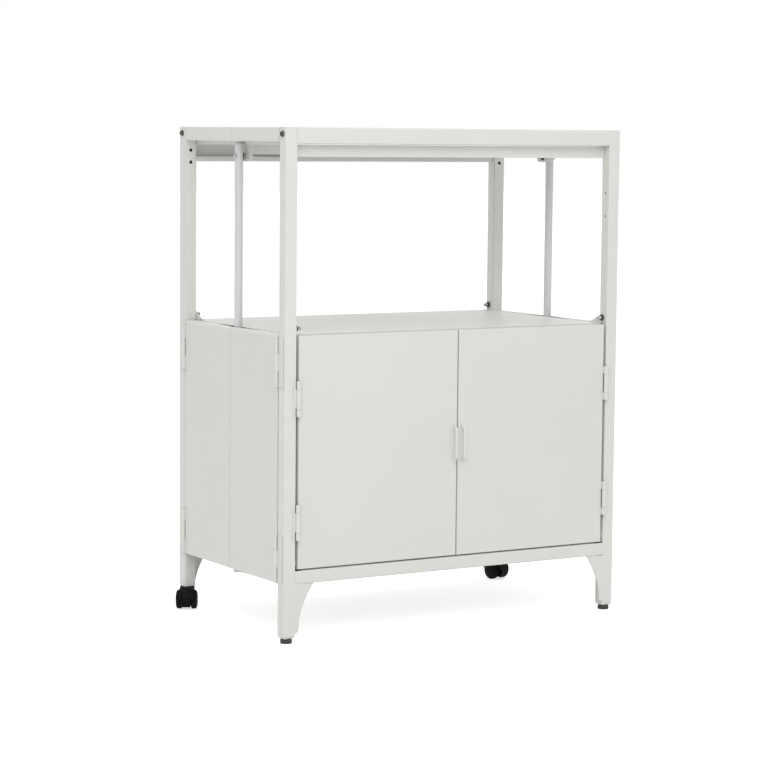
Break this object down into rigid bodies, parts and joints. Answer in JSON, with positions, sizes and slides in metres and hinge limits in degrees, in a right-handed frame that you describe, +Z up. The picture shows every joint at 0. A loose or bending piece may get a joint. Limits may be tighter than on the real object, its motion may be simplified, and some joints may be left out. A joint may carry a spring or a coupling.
{
  "type": "rolling storage cabinet",
  "caption": "Folding sheet steel cabinet trolley with a tray top, an open bay, a worktop and a cupboard with hinged doors, on rear casters and front feet.",
  "frame": {"origin": "on the floor, at the centre of the four legs", "axes": "+X to the right seen from the doors, +Y to the back, +Z up"},
  "size_m": [0.7345, 0.4196, 0.892],
  "materials": {
    "paint": "satin white powder coat",
    "panel_paint": "satin white powder coat on sheet",
    "steel": "zinc plated steel",
    "dark_steel": "black zinc plated steel",
    "rubber": "matte black rubber",
    "black_plastic": "black moulded nylon"
  },
  "bodies": {
    "rear_frame": {"leg_rear_left": "paint", "leg_rear_right": "paint", "rear_top_rail": "paint", "rear_bottom_rail": "paint", "back_panel": "panel_paint", "top_bolt_rear_left": "dark_steel", "top_bolt_rear_right": "dark_steel", "deck_bolt_rear_left": "dark_steel", "deck_bolt_rear_right": "dark_steel", "side_hinge_rear_left_lower": "paint", "side_hinge_rear_left_upper": "paint", "side_hinge_rear_right_lower": "paint", "side_hinge_rear_right_upper": "paint"},
    "front_frame": {"leg_front_left": "paint", "leg_front_right": "paint", "front_top_rail": "paint", "front_bottom_rail": "paint", "foot_left": "rubber", "foot_right": "rubber", "top_bolt_front_left": "dark_steel", "top_bolt_front_right": "dark_steel", "deck_bolt_front_left": "dark_steel", "deck_bolt_front_right": "dark_steel", "side_hinge_front_left_lower": "paint", "side_hinge_front_left_upper": "paint", "side_hinge_front_right_lower": "paint", "side_hinge_front_right_upper": "paint", "door_hinge_left_lower": "paint", "door_hinge_left_upper": "paint", "door_hinge_right_lower": "paint", "door_hinge_right_upper": "paint"},
    "top_rear": {"top_shelf_rear": "paint", "hinge_pin_top_left": "dark_steel", "hinge_pin_top_right": "dark_steel"},
    "top_front": {"top_shelf_front": "paint"},
    "deck_rear": {"deck_shelf_rear": "paint", "hinge_pin_deck": "dark_steel"},
    "deck_front": {"deck_shelf_front": "paint"},
    "base_rear": {"base_shelf_rear": "paint", "hinge_pin_base": "dark_steel"},
    "base_front": {"base_shelf_front": "paint"},
    "link_rods": {"link_rod_left": "paint", "link_rod_right": "paint"},
    "side_rear_left": {"side_panel_rear_left": "panel_paint"},
    "side_rear_right": {"side_panel_rear_right": "panel_paint"},
    "side_front_left": {"side_panel_front_left": "panel_paint"},
    "side_front_right": {"side_panel_front_right": "panel_paint"},
    "left_door": {"door_left": "panel_paint", "pull_left": "paint"},
    "right_door": {"door_right": "panel_paint", "pull_right": "paint"},
    "left_caster": {"caster_hood_left": "black_plastic", "caster_axle_left": "steel"},
    "right_caster": {"caster_hood_right": "black_plastic", "caster_axle_right": "steel"},
    "left_caster_wheel_a": {"caster_wheel_left_left": "rubber"},
    "left_caster_wheel_b": {"caster_wheel_left_right": "rubber"},
    "right_caster_wheel_a": {"caster_wheel_right_left": "rubber"},
    "right_caster_wheel_b": {"caster_wheel_right_right": "rubber"}
  },
  "joints": [
    {"name": "fold", "type": "hinge", "parent": "rear_frame", "child": "top_rear", "pos_m": [0, 0.1915, 0.88], "axis": [-1, 0, 0], "range_deg": [0, 86]},
    {"name": "top_middle", "type": "hinge", "parent": "top_rear", "child": "top_front", "pos_m": [0, 0, 0.84], "axis": [1, 0, 0], "range_deg": [0, 172]},
    {"name": "front_close", "type": "hinge", "parent": "top_front", "child": "front_frame", "pos_m": [0, -0.1915, 0.88], "axis": [-1, 0, 0], "range_deg": [0, 86]},
    {"name": "deck_lift", "type": "hinge", "parent": "rear_frame", "child": "deck_rear", "pos_m": [0, 0.1915, 0.5475], "axis": [-1, 0, 0], "range_deg": [0, 86]},
    {"name": "deck_middle", "type": "hinge", "parent": "deck_rear", "child": "deck_front", "pos_m": [0, 0, 0.5075], "axis": [1, 0, 0], "range_deg": [0, 172]},
    {"name": "base_lift", "type": "hinge", "parent": "rear_frame", "child": "base_rear", "pos_m": [0, 0.1915, 0.1405], "axis": [-1, 0, 0], "range_deg": [0, 86]},
    {"name": "base_middle", "type": "hinge", "parent": "base_rear", "child": "base_front", "pos_m": [0, 0, 0.1005], "axis": [1, 0, 0], "range_deg": [0, 172]},
    {"name": "rods_upright", "type": "hinge", "parent": "top_rear", "child": "link_rods", "pos_m": [0, 0, 0.84], "axis": [1, 0, 0], "range_deg": [0, 86]},
    {"name": "side_rear_left_swing", "type": "hinge", "parent": "rear_frame", "child": "side_rear_left", "pos_m": [-0.35345, 0.1788, 0.32], "axis": [0, 0, -1], "range_deg": [0, 82.13]},
    {"name": "side_rear_right_swing", "type": "hinge", "parent": "rear_frame", "child": "side_rear_right", "pos_m": [0.35345, 0.1788, 0.32], "axis": [0, 0, 1], "range_deg": [0, 82.13]},
    {"name": "side_front_left_swing", "type": "hinge", "parent": "front_frame", "child": "side_front_left", "pos_m": [-0.35345, -0.1788, 0.32], "axis": [0, 0, 1], "range_deg": [0, 82.13]},
    {"name": "side_front_right_swing", "type": "hinge", "parent": "front_frame", "child": "side_front_right", "pos_m": [0.35345, -0.1788, 0.32], "axis": [0, 0, -1], "range_deg": [0, 82.13]},
    {"name": "left_door_swing", "type": "hinge", "parent": "front_frame", "child": "left_door", "pos_m": [-0.3245, -0.20745, 0.33], "axis": [0, 0, -1], "range_deg": [0, 110]},
    {"name": "right_door_swing", "type": "hinge", "parent": "front_frame", "child": "right_door", "pos_m": [0.3245, -0.20745, 0.33], "axis": [0, 0, 1], "range_deg": [0, 110]},
    {"name": "left_caster_swivel", "type": "hinge", "parent": "rear_frame", "child": "left_caster", "pos_m": [-0.3385, 0.1915, 0.05], "axis": [0, 0, 1], "continuous": true},
    {"name": "right_caster_swivel", "type": "hinge", "parent": "rear_frame", "child": "right_caster", "pos_m": [0.3385, 0.1915, 0.05], "axis": [0, 0, 1], "continuous": true},
    {"name": "left_caster_roll_a", "type": "hinge", "parent": "left_caster", "child": "left_caster_wheel_a", "pos_m": [-0.34674, 0.17778, 0.0175], "axis": [-0.8572, 0.515, 0], "continuous": true},
    {"name": "left_caster_roll_b", "type": "hinge", "parent": "left_caster", "child": "left_caster_wheel_b", "pos_m": [-0.34674, 0.17778, 0.0175], "axis": [-0.8572, 0.515, 0], "continuous": true},
    {"name": "right_caster_roll_a", "type": "hinge", "parent": "right_caster", "child": "right_caster_wheel_a", "pos_m": [0.34183, 0.17585, 0.0175], "axis": [-0.9781, -0.2079, 0], "continuous": true},
    {"name": "right_caster_roll_b", "type": "hinge", "parent": "right_caster", "child": "right_caster_wheel_b", "pos_m": [0.34183, 0.17585, 0.0175], "axis": [-0.9781, -0.2079, 0], "continuous": true}
  ],
  "couplings": [
    {"joint": "top_middle", "follows": "fold", "ratio": 2},
    {"joint": "front_close", "follows": "fold", "ratio": 1},
    {"joint": "deck_lift", "follows": "fold", "ratio": 1},
    {"joint": "deck_middle", "follows": "fold", "ratio": 2},
    {"joint": "base_lift", "follows": "fold", "ratio": 1},
    {"joint": "base_middle", "follows": "fold", "ratio": 2},
    {"joint": "rods_upright", "follows": "fold", "ratio": 1},
    {"joint": "side_rear_left_swing", "follows": "fold", "ratio": 0.955},
    {"joint": "side_rear_right_swing", "follows": "fold", "ratio": 0.955},
    {"joint": "side_front_left_swing", "follows": "fold", "ratio": 0.955},
    {"joint": "side_front_right_swing", "follows": "fold", "ratio": 0.955}
  ]
}
